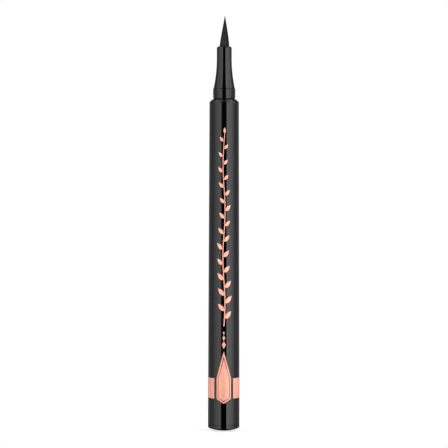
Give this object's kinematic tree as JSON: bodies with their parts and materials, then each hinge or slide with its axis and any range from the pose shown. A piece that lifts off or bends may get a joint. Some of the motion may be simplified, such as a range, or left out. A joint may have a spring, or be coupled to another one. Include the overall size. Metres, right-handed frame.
{
  "type": "liquid eyeliner pen",
  "caption": "Slim black liquid eyeliner pen without its cap: tapered barrel with an ink tank, cap collar, flared nozzle and pointed felt tip.",
  "frame": {"origin": "lowest point of the domed tail, on the pen's axis", "axes": "+Z along the pen's axis from the tail to the tip; +X towards the collector's ink slit; -Y is the front in the picture"},
  "size_m": [0.01, 0.01, 0.1308],
  "materials": {
    "gloss_black": "jet black moulded plastic, high gloss",
    "felt_black": "bonded fibre soaked with black ink, matt, streaked lengthwise",
    "rod_fibre": "ink-soaked fibre rod",
    "natural_plastic": "natural milky plastic",
    "seal_rubber": "black rubber, satin",
    "ball_steel": "polished stainless steel"
  },
  "bodies": {
    "pen": {"felt_tip": "felt_black", "tip_sleeve": "natural_plastic", "front_section": "gloss_black", "section_collar": "gloss_black", "section_seal": "seal_rubber", "feed_rod": "rod_fibre", "feed_tube": "natural_plastic", "comb_collector": "natural_plastic", "collector_seal": "seal_rubber", "barrel": "gloss_black", "tail_plug": "gloss_black", "tail_seal": "seal_rubber"},
    "ball": {"mixing_ball": "ball_steel"}
  },
  "joints": [
    {"name": "ball_slide", "type": "slide", "parent": "pen", "child": "ball", "axis": [0, 0, 1], "range_m": [0, 0.0565]}
  ]
}
